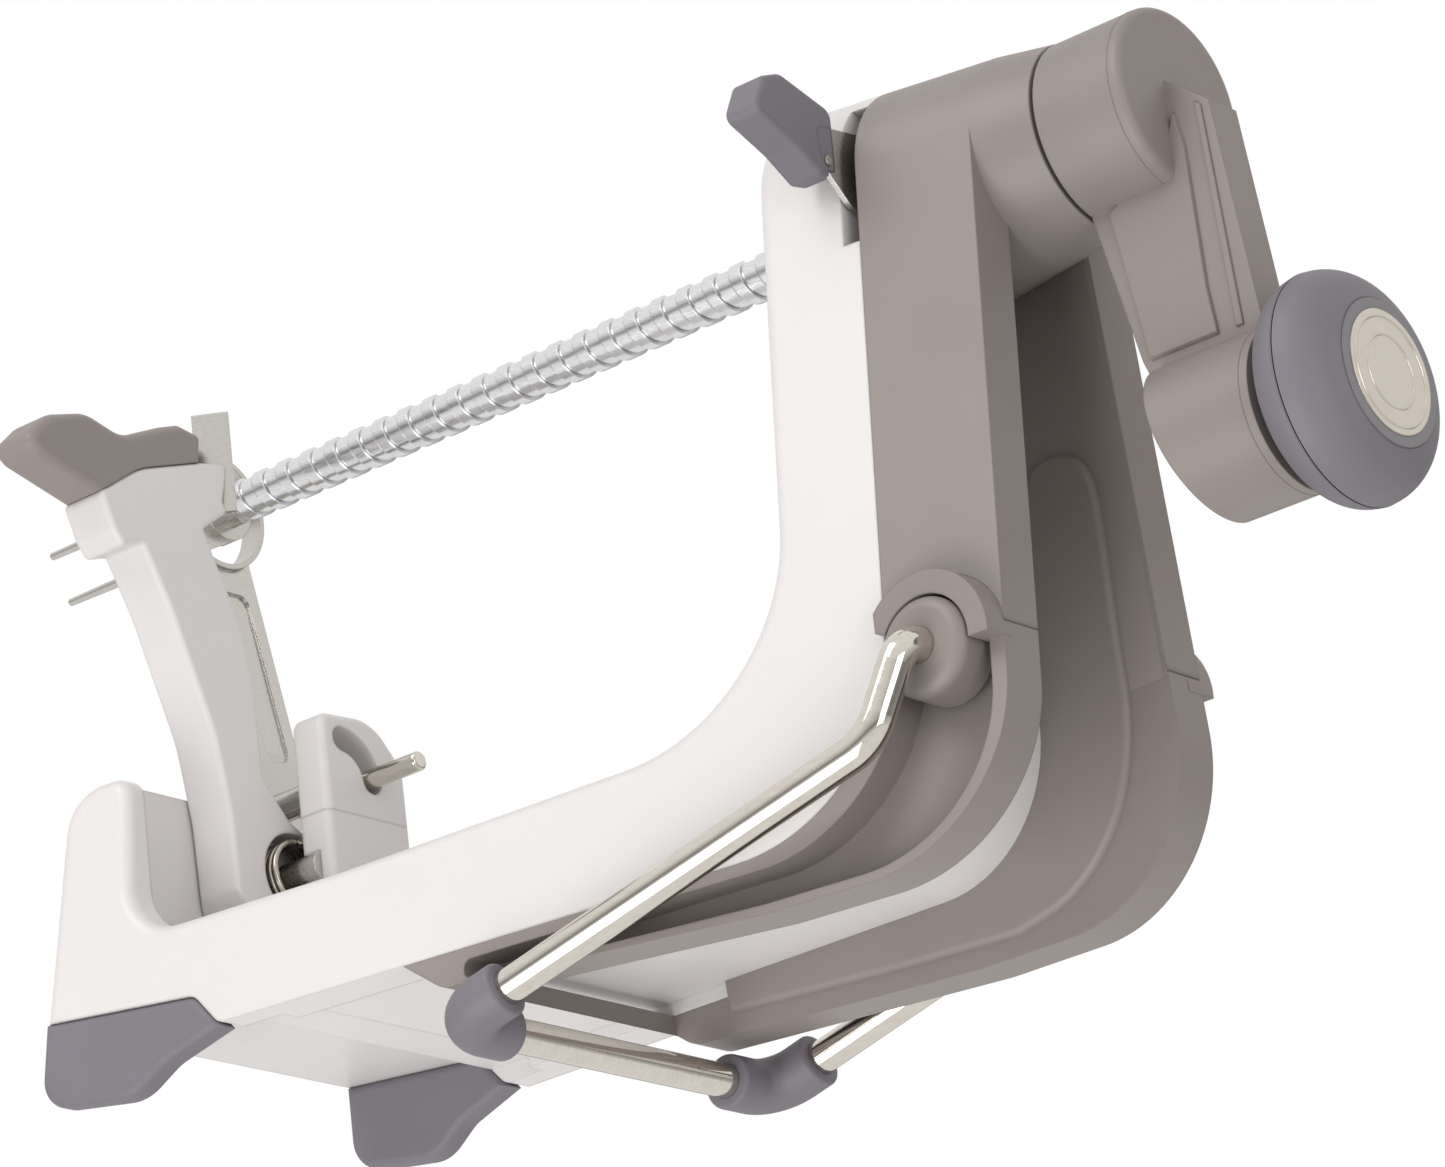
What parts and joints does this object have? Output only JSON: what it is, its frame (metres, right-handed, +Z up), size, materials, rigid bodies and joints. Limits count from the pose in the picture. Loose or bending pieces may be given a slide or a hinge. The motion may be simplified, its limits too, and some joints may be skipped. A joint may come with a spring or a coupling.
{
  "type": "apple peeler and corer",
  "caption": "Hand-cranked apple peeler, corer and slicer with a J-shaped frame, lead screw and fork, swinging peeling arm, coring ring and folding wire stand.",
  "frame": {"origin": "centre of the bounding box's floor; the screw's vertical plane is 14.33 mm towards +Y from it", "axes": "+Z up, +X towards the crank in plan, +Y towards the far side; the lead screw lies parallel to the XZ plane and rises 8 degrees towards the crank"},
  "size_m": [0.3184, 0.1138, 0.1753],
  "materials": {
    "white_plastic": "satin",
    "taupe_plastic": "satin",
    "grey_rubber": "matte",
    "screw_steel": "polished",
    "wire_chrome": "polished",
    "stainless": "satin",
    "rim_plastic": "satin",
    "nickel_disc": "satin",
    "spring_steel": "satin"
  },
  "bodies": {
    "frame": {"main_frame": "white_plastic", "upper_rear_cover": "taupe_plastic", "lower_rear_cover": "taupe_plastic", "foot_near": "grey_rubber", "foot_far": "grey_rubber", "lever_pin": "stainless", "corer_bracket": "white_plastic", "bracket_base": "white_plastic", "corer_pivot_pin": "stainless", "arm_axle": "stainless", "torsion_spring": "spring_steel"},
    "carriage": {"thrust_washer": "taupe_plastic"},
    "screw_and_crank": {"lead_screw": "screw_steel", "fork": "stainless", "crank_arm": "taupe_plastic", "knob_spindle": "stainless"},
    "crank_knob": {"knob_grip": "grey_rubber", "knob_rim": "rim_plastic", "knob_disc": "nickel_disc"},
    "wire_stand": {"stand_wire": "wire_chrome", "sleeve_near": "grey_rubber", "sleeve_far": "grey_rubber", "pivot_cap_near": "taupe_plastic", "pivot_cap_far": "taupe_plastic"},
    "release_lever": {"lever_plate": "stainless", "lever_grip": "grey_rubber", "lever_rivet": "stainless"},
    "corer": {"coring_ring": "stainless", "corer_stem": "stainless", "corer_peg": "wire_chrome"},
    "peeler": {"peeling_arm": "white_plastic", "thumb_tab": "taupe_plastic", "peeling_blade": "stainless"}
  },
  "joints": [
    {"name": "screw_travel", "type": "slide", "parent": "frame", "child": "carriage", "axis": [0.9903, 0, 0.1392], "range_m": [0, 0.108]},
    {"name": "crank_turn", "type": "hinge", "parent": "carriage", "child": "screw_and_crank", "pos_m": [0.01834, 0.01433, 0.1449], "axis": [0.9903, 0, 0.1392], "range_deg": [0, 6122.8]},
    {"name": "knob_spin", "type": "hinge", "parent": "screw_and_crank", "child": "crank_knob", "pos_m": [0.14819, 0.01433, 0.09973], "axis": [0.9903, 0, 0.1392], "continuous": true},
    {"name": "stand_fold", "type": "hinge", "parent": "frame", "child": "wire_stand", "pos_m": [0.08384, 0.01433, 0.05969], "axis": [0, -1, 0], "range_deg": [0, 90]},
    {"name": "lever_press", "type": "hinge", "parent": "frame", "child": "release_lever", "pos_m": [0.05823, 0.02833, 0.15354], "axis": [0.9903, 0, 0.1392], "range_deg": [0, 6], "stiffness_Nm_per_rad": 0.8, "springref_deg": -8.59},
    {"name": "corer_swing", "type": "hinge", "parent": "frame", "child": "corer", "pos_m": [-0.09732, 0.00733, 0.0625], "axis": [0.9903, 0, 0.1392], "range_deg": [0, 3]},
    {"name": "arm_swing", "type": "hinge", "parent": "frame", "child": "peeler", "pos_m": [-0.08809, 0.00383, 0.04714], "axis": [0.9903, 0, 0.1392], "range_deg": [0, 28], "stiffness_Nm_per_rad": 0.25, "springref_deg": -28.65}
  ],
  "couplings": [
    {"joint": "screw_travel", "follows": "crank_turn", "m_per_rad": 0.0010106}
  ]
}
